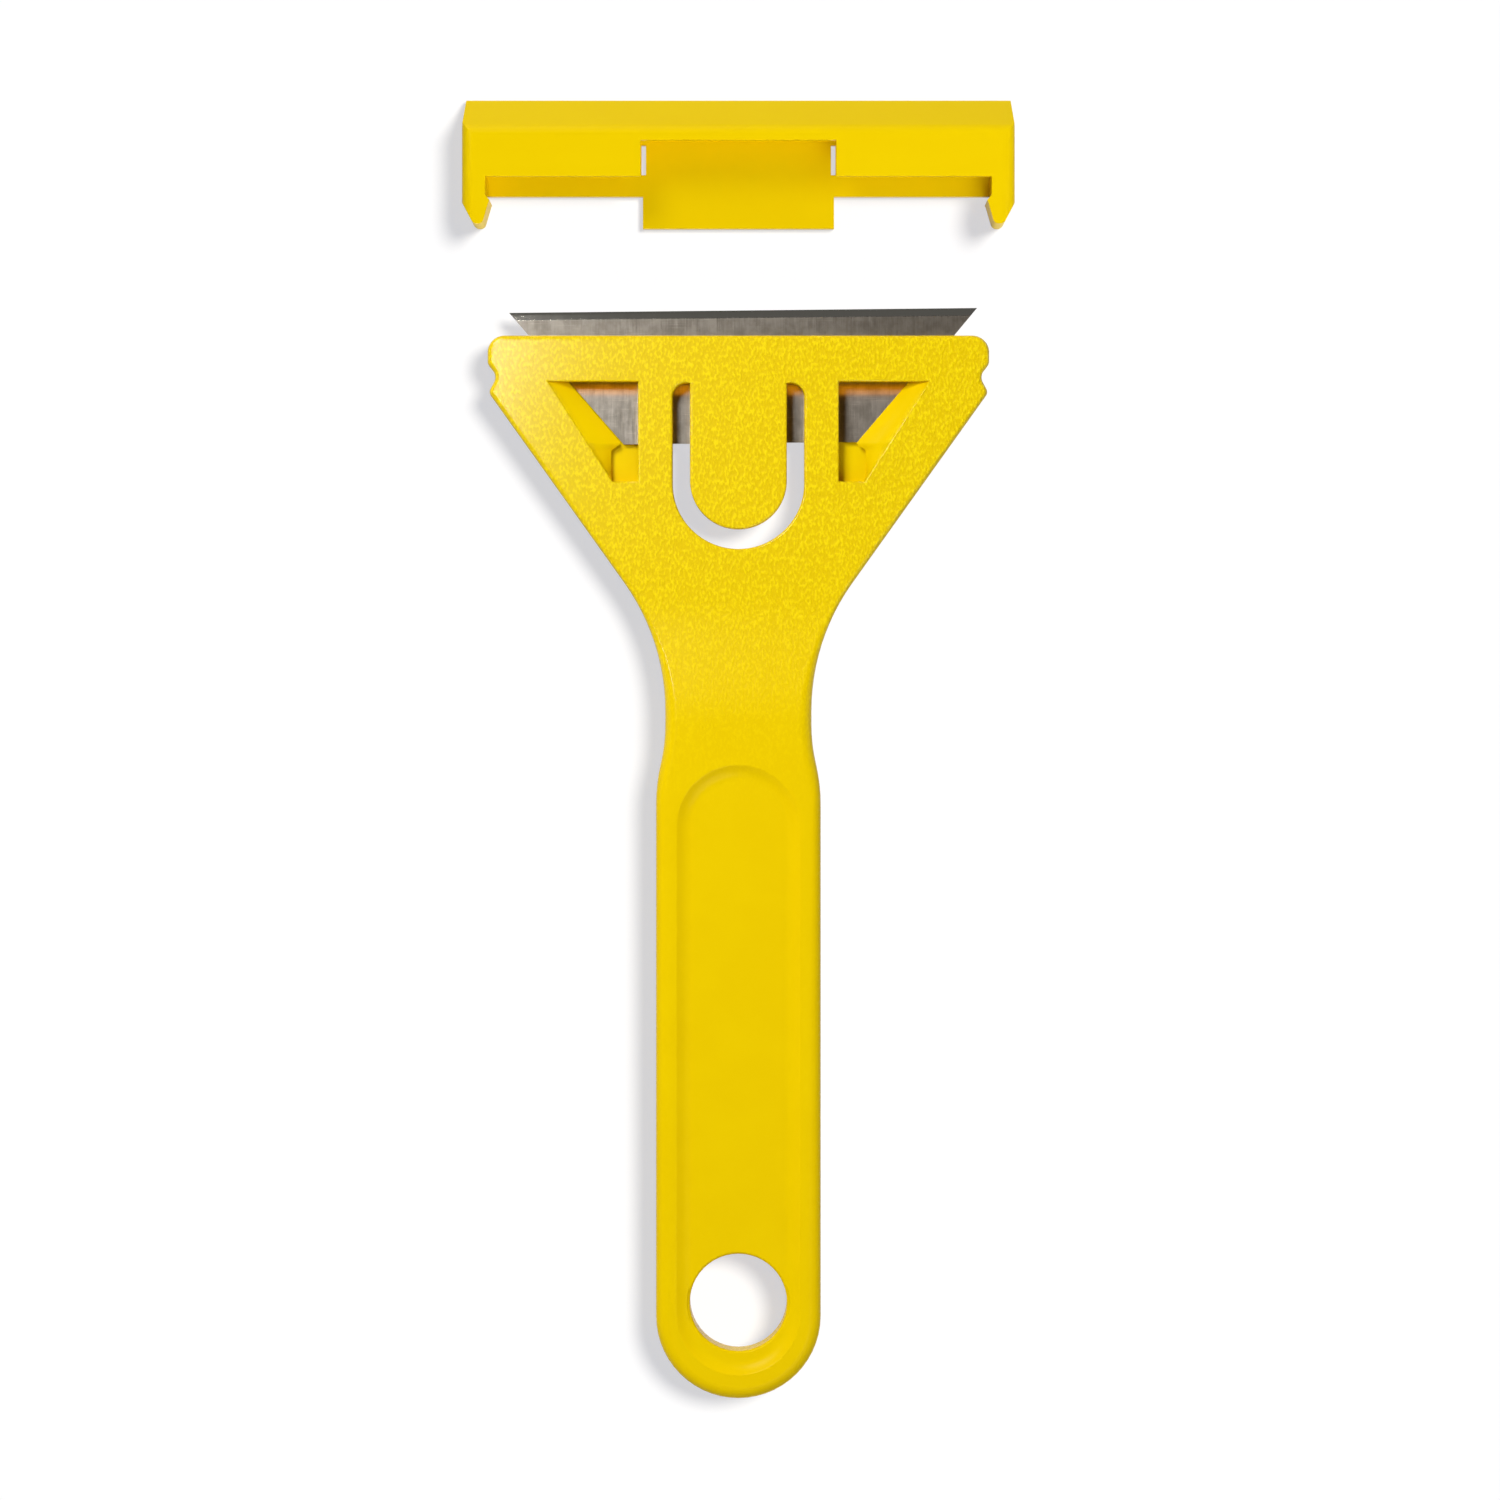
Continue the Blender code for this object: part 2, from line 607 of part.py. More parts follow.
def make_cap(material, carrier, end_shape):
    """The nose with its roof, floor, tab and end walls."""
    anchor = carrier.location
    shell = bar_along_x(cap_shell_profile(), CAP_OUTER)
    for side in (-1, 1):
        taper_nose(shell, side)
    cap = new_object("safety_cap", shell, material, origin=anchor, parent=carrier)
    shade_round(cap)
    cut(cap, end_shape, "INTERSECT")
    cutters = [("cap_hollow_cutter", bar_along_x(cap_hollow_profile(), CAP_INNER))]
    thumb_low = (-CAP_THUMB_WIDTH / 2, cap_y(CAP_ROOF_DEPTH + OVERRUN), CAP_HEIGHT / 2)
    thumb_high = (CAP_THUMB_WIDTH / 2, cap_y(CAP_THUMB_DEPTH), CAP_HEIGHT + OVERRUN)
    cutters.append(("cap_thumb_cutter", block(thumb_low, thumb_high)))
    for name, side in (("left", -1), ("right", 1)):
        across = sorted((side * CAP_TAB_WIDTH / 2, side * (CAP_OUTER + OVERRUN)))
        low = (across[0], cap_y(CAP_TAB_DEPTH + OVERRUN), -OVERRUN)
        high = (across[1], cap_y(CAP_FLOOR_DEPTH), CAP_HEIGHT + OVERRUN)
        cutters.append((f"cap_trim_cutter_{name}", block(low, high)))
        slit = sorted((side * CAP_THUMB_WIDTH / 2, side * (CAP_THUMB_WIDTH / 2 - CAP_SLIT_WIDTH)))
        low = (slit[0], cap_y(CAP_SLIT_END_DEPTH), -OVERRUN)
        high = (slit[1], cap_y(CAP_SLIT_FRONT_DEPTH), CAP_WALL + OVERRUN)
        cutters.append((f"cap_slit_cutter_{name}", block(low, high)))
    for name, solid in cutters:
        cut(cap, new_object(name, solid, None, origin=anchor, parent=carrier))
    round_edges(cap, CAP_EDGE_RADIUS)
    return cap


def make_clip(name, side, material, carrier, end_shape):
    """The free end of a snap arm: a bump inside, a chamfer outside and a round tip."""
    bump = CAP_INNER - CLIP_BUMP_HEIGHT
    root = CAP_FLOOR_DEPTH + CLIP_ROOT_GAP
    corners = [
        (side * CAP_OUTER, cap_y(root), 0.0),
        (side * CAP_OUTER, cap_y(CLIP_CHAMFER_DEPTH), CAP_FOOT_RADIUS),
        (side * (CAP_OUTER - CLIP_POINT_INSET), cap_y(CLIP_POINT_DEPTH), CLIP_TIP_RADIUS),
        (side * bump, cap_y(CLIP_BUMP_DEPTH), CLIP_BUMP_RADIUS),
        (side * CAP_INNER, cap_y(CLIP_BUMP_START_DEPTH), 0.0),
        (side * CAP_INNER, cap_y(root), 0.0),
    ]
    solid = prism(rounded_path(corners), 0.0, CAP_HEIGHT)
    clip = new_object(name, solid, material, origin=carrier.location, parent=carrier)
    cut(clip, end_shape, "INTERSECT")
    shade_round(clip)
    return clip


def main():
    clear_scene()
    plastic = make_material("yellow_plastic", PLASTIC_YELLOW, 0.35, 0.0)
    cap_plastic = make_material("yellow_cap_plastic", PLASTIC_YELLOW, 0.28, 0.0)
    steel = make_material("blade_steel", STEEL_GREY, 0.30, 1.0)

    body = make_body(plastic)
    cut(body, recess_cutter("recess_top_cutter", HANDLE_THICKNESS, 1))
    cut(body, recess_cutter("recess_bottom_cutter", 0.0, -1))
    cut(body, hanging_hole_cutter())
    cut(body, pocket_cutter())
    cut(body, window_cutter("window_cutter_left", -1))
    cut(body, window_cutter("window_cutter_right", 1))
    cut(body, slot_cutter())
    make_tongue(plastic)
    make_blade(steel)

    carrier = bpy.data.objects.new("cap_carrier", None)
    bpy.context.collection.objects.link(carrier)
    carrier.location = (0.0, cap_y(CAP_FLOOR_DEPTH), 0.0)
    end_shape = cap_end_shape(carrier)
    make_cap(cap_plastic, carrier, end_shape)
    make_clip("cap_clip_left", -1, cap_plastic, carrier, end_shape)
    make_clip("cap_clip_right", 1, cap_plastic, carrier, end_shape)


main()
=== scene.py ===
import math

import bmesh
import bpy
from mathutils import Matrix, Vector


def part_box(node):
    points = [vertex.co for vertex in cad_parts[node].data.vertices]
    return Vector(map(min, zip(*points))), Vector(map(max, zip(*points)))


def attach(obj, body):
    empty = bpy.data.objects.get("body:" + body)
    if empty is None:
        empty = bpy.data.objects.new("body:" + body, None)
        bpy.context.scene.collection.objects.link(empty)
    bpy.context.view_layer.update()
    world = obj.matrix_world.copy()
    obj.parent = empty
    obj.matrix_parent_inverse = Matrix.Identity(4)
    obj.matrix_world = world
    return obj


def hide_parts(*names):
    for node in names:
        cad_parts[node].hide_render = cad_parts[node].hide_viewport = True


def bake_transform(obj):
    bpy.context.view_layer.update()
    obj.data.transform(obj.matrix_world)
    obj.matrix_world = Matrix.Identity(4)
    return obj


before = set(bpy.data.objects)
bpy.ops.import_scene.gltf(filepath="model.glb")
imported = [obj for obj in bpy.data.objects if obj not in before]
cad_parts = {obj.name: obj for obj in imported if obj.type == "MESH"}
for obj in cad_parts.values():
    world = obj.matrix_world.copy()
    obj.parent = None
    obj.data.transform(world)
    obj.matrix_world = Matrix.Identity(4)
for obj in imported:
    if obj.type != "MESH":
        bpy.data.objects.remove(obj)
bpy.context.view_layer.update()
print("frame loaded:", ", ".join(sorted(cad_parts)))

mm = 0.001
modelling = {
    "near": 0.02 * mm,          # closer than this counts as the same line
    "cutWithin": 0.001 * mm,    # how finely a cut is made
    "weldWithin": 0.002 * mm,
    "flatWithin": 0.4,          # in degrees, as the next one
    "smoothUpTo": 32.0,
    "alongShare": 0.9,          # of an edge's direction, for it to run along an axis
    "flatsWeight": 100,         # how far flats rule the shading beside them
}


# tools for working on one piece at a time

def makeActive(piece):
    if bpy.context.mode != "OBJECT":
        bpy.ops.object.mode_set(mode="OBJECT")
    bpy.ops.object.select_all(action="DESELECT")
    piece.select_set(True)
    bpy.context.view_layer.objects.active = piece


def pick(piece, kind, rule=lambda item: True):
    # goes into edit mode with just the vertices, edges or faces selected that the rule takes
    makeActive(piece)
    bpy.ops.object.mode_set(mode="EDIT")
    bpy.ops.mesh.select_mode(type={"verts": "VERT", "edges": "EDGE", "faces": "FACE"}[kind])
    bpy.ops.mesh.select_all(action="DESELECT")
    editMesh = bmesh.from_edit_mesh(piece.data)
    for item in getattr(editMesh, kind):
        if rule(item):
            item.select_set(True)
    editMesh.select_flush_mode()
    bmesh.update_edit_mesh(piece.data)


def leaveEdit():
    bpy.ops.object.mode_set(mode="OBJECT")


def middleOf(edge):
    return (edge.verts[0].co + edge.verts[1].co) / 2


def runsAlong(edge, axis):
    way = (edge.verts[1].co - edge.verts[0].co).normalized()
    return abs(way[axis]) > modelling["alongShare"]


def addBlock(name, low, high):
    low, high = Vector(low), Vector(high)
    bpy.ops.object.select_all(action="DESELECT")
    bpy.ops.mesh.primitive_cube_add(size=1, location=(low + high) / 2, scale=high - low)
    block = bpy.context.object
    block.name = name
    bpy.ops.object.transform_apply(location=True, rotation=True, scale=True)
    return block


def sliceOff(piece, point, outward):
    # cuts away all that lies beyond a plane and closes the cut
    pick(piece, "faces")
    bpy.ops.mesh.bisect(plane_co=point, plane_no=Vector(outward).normalized(), use_fill=True,
                        clear_outer=True, threshold=modelling["cutWithin"])
    leaveEdit()


def scoreAcross(piece, y):
    pick(piece, "faces")
    bpy.ops.mesh.bisect(plane_co=(0, y, 0), plane_no=(0, 1, 0), threshold=modelling["cutWithin"])
    leaveEdit()


def slide(piece, rule, way):
    pick(piece, "verts", rule)
    bpy.ops.transform.translate(value=way)
    leaveEdit()


def roundLines(piece, rule, width, segments):
    pick(piece, "edges", rule)
    bpy.ops.mesh.bevel(offset=width, segments=segments, affect="EDGES")
    leaveEdit()


def combine(piece, tool, operation):
    makeActive(piece)
    boolean = piece.modifiers.new("combine", "BOOLEAN")
    boolean.operation = operation
    boolean.solver = "EXACT"
    boolean.object = tool
    bpy.ops.object.modifier_apply(modifier=boolean.name)
    bpy.data.objects.remove(tool)


def joinFlats(piece):
    # what the cuts left behind as several faces in one plane becomes one face again
    pick(piece, "faces")
    bpy.ops.mesh.remove_doubles(threshold=modelling["weldWithin"])
    bpy.ops.mesh.dissolve_limited(angle_limit=math.radians(modelling["flatWithin"]))
    leaveEdit()


def softenEdges(piece, width, segments, sharperThan):
    makeActive(piece)
    bevel = piece.modifiers.new("soften", "BEVEL")
    bevel.width = width
    bevel.segments = segments
    bevel.limit_method = "ANGLE"
    bevel.angle_limit = math.radians(sharperThan)
    bpy.ops.object.modifier_apply(modifier=bevel.name)


def shadeLikeMoulding(piece):
    # rounded edges shade round, and the flats beside them stay flat
    makeActive(piece)
    bpy.ops.object.shade_smooth_by_angle(angle=math.radians(modelling["smoothUpTo"]))
    weighted = piece.modifiers.new("flats", "WEIGHTED_NORMAL")
    weighted.keep_sharp = True
    weighted.weight = modelling["flatsWeight"]
    bpy.ops.object.modifier_apply(modifier=weighted.name)


def mirrorCopy(piece):
    # a copy with its own mesh, on the other side
    makeActive(piece)
    bpy.ops.object.duplicate(linked=False)
    piece = bpy.context.object
    pick(piece, "faces")
    bpy.ops.transform.mirror(constraint_axis=(True, False, False), orient_type="GLOBAL",
                             center_override=(0, 0, 0))
    bpy.ops.mesh.normals_make_consistent(inside=False)
    leaveEdit()
    return piece


def fromCad(name, nodeName):
    # a piece of our own from a CAD node's triangles, joined up and with its flats cleared of lines
    piece = bpy.data.objects.new(name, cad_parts[nodeName].data.copy())
    bpy.context.scene.collection.objects.link(piece)
    piece.data.materials.clear()
    joinFlats(piece)
    return piece


# tools for shader maths

class Signal:
    # one socket of a node, with sums written as Python writes them
    def __init__(self, board, socket):
        self.board = board
        self.socket = socket

    def join(self, operation, first, second):
        return self.board.add("ShaderNodeMath", {"operation": operation}, {0: first, 1: second})

    def __add__(self, other):
        return self.join("ADD", self, other)

    def __radd__(self, other):
        return self.join("ADD", other, self)

    def __sub__(self, other):
        return self.join("SUBTRACT", self, other)

    def __rsub__(self, other):
        return self.join("SUBTRACT", other, self)

    def __mul__(self, other):
        return self.join("MULTIPLY", self, other)

    def __rmul__(self, other):
        return self.join("MULTIPLY", other, self)


class Board:
    # the node tree of a material or of the world
    def __init__(self, owner):
        self.owner = owner
        self.owner.use_nodes = True
        self.tree = self.owner.node_tree
        self.shader = self.tree.nodes.get("Principled BSDF")

    def add(self, kind, settings=None, sockets=None, out=0):
        node = self.tree.nodes.new(kind)
        for key, value in (settings or {}).items():
            setattr(node, key, value)
        for key, value in (sockets or {}).items():
            self.feed(node.inputs[key], value)
        return Signal(self, node.outputs[out])

    def feed(self, socket, value):
        if isinstance(value, Signal):
            self.tree.links.new(value.socket, socket)
        else:
            socket.default_value = value

    def set(self, **values):
        for key, value in values.items():
            name = {"baseColor": "Base Color", "roughness": "Roughness", "metallic": "Metallic",
                    "normal": "Normal", "specular": "Specular IOR Level",
                    "coat": "Coat Weight", "coatRoughness": "Coat Roughness",
                    "glow": "Emission Color", "glowStrength": "Emission Strength"}[key]
            self.feed(self.shader.inputs[name], value)

    def place(self):
        return self.add("ShaderNodeTexCoord", out=3)  # Object coordinates

    def outputs(self, signal):
        return {socket.name: Signal(self, socket) for socket in signal.socket.node.outputs}

    def axes(self, vector):
        return self.outputs(self.add("ShaderNodeSeparateXYZ", sockets={0: vector}))

    def stretched(self, vector, scale, turn=0.0):
        return self.add("ShaderNodeMapping", sockets={"Vector": vector, "Rotation": (0, 0, turn),
                                                      "Scale": scale})

    def noise(self, vector, size, detail, rough):
        return self.add("ShaderNodeTexNoise", sockets={"Vector": vector, "Scale": 1 / size,
                                                       "Detail": detail, "Roughness": rough})

    def streaks(self, vector, sizes, detail, rough, turn=0.0):
        # noise with a size of its own along each axis
        scale = tuple(1 / size for size in sizes)
        return self.noise(self.stretched(vector, scale, turn), 1.0, detail, rough)

    def between(self, value, low, high, toLow=0.0, toHigh=1.0):
        return self.add("ShaderNodeMapRange", {"interpolation_type": "SMOOTHSTEP"},
                        {"Value": value, "From Min": low, "From Max": high,
                         "To Min": toLow, "To Max": toHigh})

    def upTo(self, value, low, high):
        return self.between(value, low, high, 1.0, 0.0)

    def blendColours(self, share, first, second, how="MIX"):
        return self.add("ShaderNodeMix", {"data_type": "RGBA", "blend_type": how},
                        {0: share, 6: first, 7: second}, out=2)

    def bump(self, height, distance):
        return self.add("ShaderNodeBump", sockets={"Height": height, "Distance": distance})


# the body: one moulding, grained on the faces of its head and smoother on the handle

bodyLook = {
    "yellow": (0.880, 0.612, 0.0005, 1.0),
    "deepYellow": (0.866, 0.596, 0.0004, 1.0),
    # painted light: the pocket's floor gets a less orange yellow, which stands in for how the light
    # bounced inside the pocket looks
    "pocketLightTint": (0.842, 0.620, 0.0006, 1.0),   # on the pocket's floor, between these levels
    "pocketLightFrom": (2.6 * mm, 2.8 * mm),
    "pocketLightTo": (3.1 * mm, 3.3 * mm),
    # grain speckle: the grain's own tone, with painted shade at its dark end and painted sheen at
    # its pale end, where the relief would catch the light
    "paleGrainAndSheen": (1.0, 0.762, 0.0030, 1.0),
    "darkGrainAndShade": (0.838, 0.584, 0.0003, 1.0),
    "grain": ((0.31 * mm, 0.56 * mm, 0.31 * mm), 2.0, 0.5),    # sizes, detail and roughness
    "grainDepth": 0.180 * mm,
    "grainShadeToSheenRange": (0.43, 0.68),
    "grainedNeck": (-13.0 * mm, 30.0 * mm),    # from the satin handle to full grain, along Y
    "grainedRoof": (5.15 * mm, 5.55 * mm),
    "grainedBack": (1.9 * mm, 2.4 * mm),
    "swirl": (9 * mm, 3.0, 0.6),
    "swirlRange": (0.35, 0.65),
    "dirt": (0.7 * mm, 4.0, 0.6),
    "dirtDepth": 0.004 * mm,
    "dirtRoughness": 0.06,
    "headRoughness": 0.36,
    "handleRoughness": 0.27,
    "specular": 0.03,
    "headCoat": 0.62,
    "headCoatRoughness": 0.17,
}


def makeBodyPlastic():
    look = bodyLook
    board = Board(bpy.data.materials.new("headAndHandlePlastic"))
    place = board.place()
    y, z = (board.axes(place)[axis] for axis in "YZ")
    onFace = board.between(z, *look["grainedRoof"]) + board.upTo(z, *look["grainedBack"])
    grained = board.between(y, *look["grainedNeck"]) * onFace
    grain = board.streaks(place, *look["grain"])
    swirl = board.noise(place, *look["swirl"])
    dirt = board.noise(place, *look["dirt"])
    # painted light on the pocket's floor, between these levels
    onPocketLightTint = board.between(z, *look["pocketLightFrom"]) - board.between(z, *look["pocketLightTo"])
    colour = board.blendColours(board.between(swirl, *look["swirlRange"]),
                                look["yellow"], look["deepYellow"])
    colour = board.blendColours(onPocketLightTint, colour, look["pocketLightTint"])
    # the grain's own tone, mixed with painted shade and painted sheen of its relief
    speckleAndGrainShading = board.blendColours(board.between(grain, *look["grainShadeToSheenRange"]),
                                 look["darkGrainAndShade"], look["paleGrainAndSheen"])
    board.set(baseColor=board.blendColours(grained, colour, speckleAndGrainShading),
              roughness=look["handleRoughness"]
              + grained * (look["headRoughness"] - look["handleRoughness"])
              + (dirt - 0.5) * look["dirtRoughness"],
              specular=look["specular"],
              coat=grained * look["headCoat"],
              coatRoughness=look["headCoatRoughness"],
              normal=board.bump(grain * grained + dirt * (look["dirtDepth"] / look["grainDepth"]),
                                look["grainDepth"]))
    return board.owner


def makeBody(plastic):
    body = fromCad("scraperBody", "scraper_body")
    shadeLikeMoulding(body)
    body.data.materials.append(plastic)
    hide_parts("scraper_body")
    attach(body, "scraper")
    return body


# the clamping tongue: part of the same moulding, built flat; the real one bends just behind its
# root

tongueShape = {
    "root": 47.3 * mm,
    "sides": 96,
    "edge": (0.30 * mm, 4),     # width and segments
    "edgeSharperThan": math.radians(29),
    "bendLength": 3.6 * mm,
}


def makeTongue(plastic):
    shape = tongueShape
    near = modelling["near"]
    low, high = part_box("clamp_tongue")
    radius = (high.x - low.x) / 2
    centre = low.y + radius
    root = shape["root"]
    bpy.ops.object.select_all(action="DESELECT")
    bpy.ops.mesh.primitive_circle_add(vertices=shape["sides"], radius=radius,
                                      fill_type="NGON", location=(0, centre, low.z))
    tongue = bpy.context.object
    tongue.name = "clampTongue"
    bpy.ops.object.transform_apply(location=True, rotation=True, scale=True)
    pick(tongue, "faces")
    bpy.ops.mesh.bisect(plane_co=(0, centre, low.z), plane_no=(0, 1, 0), clear_outer=True,
                        threshold=modelling["cutWithin"])
    leaveEdit()
    pick(tongue, "edges", lambda edge: middleOf(edge).y > centre - near)
    bpy.ops.mesh.extrude_region_move(TRANSFORM_OT_translate={"value": (0, root - centre, 0)})
    leaveEdit()
    pick(tongue, "faces")
    bpy.ops.mesh.extrude_region_move(TRANSFORM_OT_translate={"value": (0, 0, high.z - low.z)})
    bpy.ops.mesh.select_all(action="SELECT")
    bpy.ops.mesh.normals_make_consistent(inside=False)
    leaveEdit()
    roundLines(tongue, lambda edge: not runsAlong(edge, 2) and middleOf(edge).y < root - near
               and edge.calc_face_angle(0) > shape["edgeSharperThan"], *shape["edge"])
    shadeLikeMoulding(tongue)
    tongue.data.materials.append(plastic)
    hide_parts("clamp_tongue")
    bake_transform(tongue)
    return tongue


plastic = makeBodyPlastic()
body = makeBody(plastic)
tongue = makeTongue(plastic)
print("body and tongue done:", len(body.data.polygons), "and", len(tongue.data.polygons), "faces")


# the blade: ground along its long edge and brushed across

bladeLook = {
    "steel": (0.68, 0.628, 0.548, 1.0),
    "darkSteel": (0.46, 0.42, 0.355, 1.0),
    "toneRange": (0.36, 0.64),
    "brush": ((0.10 * mm, 3 * mm, mm), 4.0, 0.7),      # sizes, detail and roughness
    "brushShare": 0.34,
    "brushDepth": 0.0016 * mm,
    "brushRoughness": 0.12,
    "broad": ((1.2 * mm, 9 * mm, mm), 2.0, 0.5),
    "broadShare": 0.16,
    "blotch": (1.6 * mm, 3.0, 0.6),
    "blotchShare": 0.50,
    "scratch": ((5 * mm, 0.12 * mm, mm), 3.0, 0.6, 0.35),    # turned by the last
    "scratchRange": (0.62, 0.70),
    "scratchTint": (1.35, 1.35, 1.35, 1.0),
    "nearEdge": (2.8 * mm, 6.0 * mm),
    "nearEdgeTint": (0.60, 0.59, 0.58, 1.0),
    "groundSteel": (0.50, 0.478, 0.42, 1.0),
    "grindDepth": 1.0 * mm,
    "honeDepth": 0.35 * mm,
    "grindBlur": 0.05 * mm,
    "skew": math.radians(0.6),
    "roughness": 0.30,
    "groundRoughness": 0.07,
    "honing": 0.03,
}


def makeSteel():
    look = bladeLook
    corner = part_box("blade")[1]
    blur = look["grindBlur"]
    board = Board(bpy.data.materials.new("brushedBladeSteel"))
    place = board.place()
    along = board.stretched(place, (1, 1, 1), -look["skew"])
    front = corner.y * math.cos(look["skew"]) - corner.x * math.sin(look["skew"])
    behind = front - board.axes(along)["Y"]
    ground = board.upTo(behind, look["grindDepth"] - blur, look["grindDepth"] + blur)
    honed = board.upTo(behind, look["honeDepth"] - blur, look["honeDepth"] + blur)
    brush = board.streaks(along, *look["brush"])
    broad = board.streaks(along, *look["broad"])
    blotch = board.noise(place, *look["blotch"])
    scratches = board.streaks(place, *look["scratch"])
    tone = (brush * look["brushShare"] + broad * look["broadShare"]
            + blotch * look["blotchShare"])
    colour = board.blendColours(board.between(tone, *look["toneRange"]),
                                look["darkSteel"], look["steel"])
    colour = board.blendColours(board.upTo(behind, *look["nearEdge"]), colour,
                                look["nearEdgeTint"], "MULTIPLY")
    colour = board.blendColours(board.between(scratches, *look["scratchRange"]), colour,
                                look["scratchTint"], "MULTIPLY")
    board.set(baseColor=board.blendColours(ground, colour, look["groundSteel"]), metallic=1.0,
              roughness=look["roughness"] + (brush - 0.5) * look["brushRoughness"]
              - ground * (look["roughness"] - look["groundRoughness"]) - honed * look["honing"],
              normal=board.bump(brush, look["brushDepth"]))
    return board.owner


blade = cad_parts["blade"]
blade.data.materials.clear()
blade.data.materials.append(makeSteel())
print("blade done")


# the cap: nose, roof, floor with its tab, and two arms that end in hooks, all one moulding

capSetup = {
    "noseDepth": 4.3 * mm,
    "noseFoot": 1.1 * mm,
    "noseTaper": 0.3 * mm,
    "noseTopEdge": (0.85 * mm, 6),      # width and segments, as in all edges here
    "noseFootEdge": (0.35 * mm, 4),
    "shoulder": (1.5 * mm, 8),
    "foot": (0.4 * mm, 4),
    "wall": 1.2 * mm,
    "endWall": 3.05 * mm,
    "roofDepth": 10.6 * mm,
    "thumbDepth": 5.9 * mm,
    "thumbHalfWidth": 12.7 * mm,
    "floorDepth": 12.6 * mm,
    "tabDepth": 16.8 * mm,
    "tabHalfWidth": 12.5 * mm,
    "slitWidth": 0.6 * mm,
    "slitFrom": 5.9 * mm,
    "slitTo": 9.8 * mm,
    "bumpFrom": 13.0 * mm,
    "bumpAt": 13.7 * mm,
    "bumpHeight": 0.6 * mm,
    "bumpLeft": 0.8,                    # share of its height that is left at the chamfer
    "hookChamferFrom": 13.9 * mm,
    "hookDepth": 16.75 * mm,
    "hookInset": 2.1 * mm,
    "hookTipHalf": 0.60 * mm,
    "hookRounding": (0.50 * mm, 6),
    "softEdge": (0.22 * mm, 3),
    "softSharperThan": 38.0,
    "overlap": 0.5 * mm,                # how deep the arms and the tab reach into the floor
    "past": 1.0 * mm,                   # how far a cutting block reaches past the cap
    "pastFloor": 0.2 * mm,
    "yellow": (0.850, 0.596, 0.0005, 1.0),
    "deepYellow": (0.846, 0.588, 0.0004, 1.0),
    "flow": (12 * mm, 3.0, 0.55),
    "flowStretch": (1, 3, 3),
    "flowRange": (0.35, 0.65),
    "ripple": (1.1 * mm, 3.0, 0.6),
    "rippleDepth": 0.002 * mm,
    "rippleRoughness": 0.08,
    "roughness": 0.32,
    "specular": 0.03,
}


def makeArm(side, inner, front, top):
    # the right arm: straight, then a bump inside, a chamfer outside and a round tip
    shape = capSetup
    near = modelling["near"]
    arm = addBlock("arm", (inner, front - shape["hookDepth"], 0),
                   (side, front - shape["floorDepth"] + shape["overlap"], top))
    for depth in ("bumpFrom", "bumpAt", "hookChamferFrom"):
        scoreAcross(arm, front - shape[depth])
    tipX = side - shape["hookInset"]
    insideMoves = {"bumpAt": -shape["bumpHeight"],
                   "hookChamferFrom": -shape["bumpHeight"] * shape["bumpLeft"],
                   "hookDepth": tipX - shape["hookTipHalf"] - inner}
    for depth, move in insideMoves.items():
        y = front - shape[depth]
        slide(arm, lambda vert: vert.co.x < inner + near and abs(vert.co.y - y) < near,
              (move, 0, 0))
    tipY = front - shape["hookDepth"]
    slide(arm, lambda vert: vert.co.x > side - near and abs(vert.co.y - tipY) < near,
          (tipX + shape["hookTipHalf"] - side, 0, 0))
    roundLines(arm, lambda edge: runsAlong(edge, 2) and middleOf(edge).y < tipY + near,
               *shape["hookRounding"])
    return arm


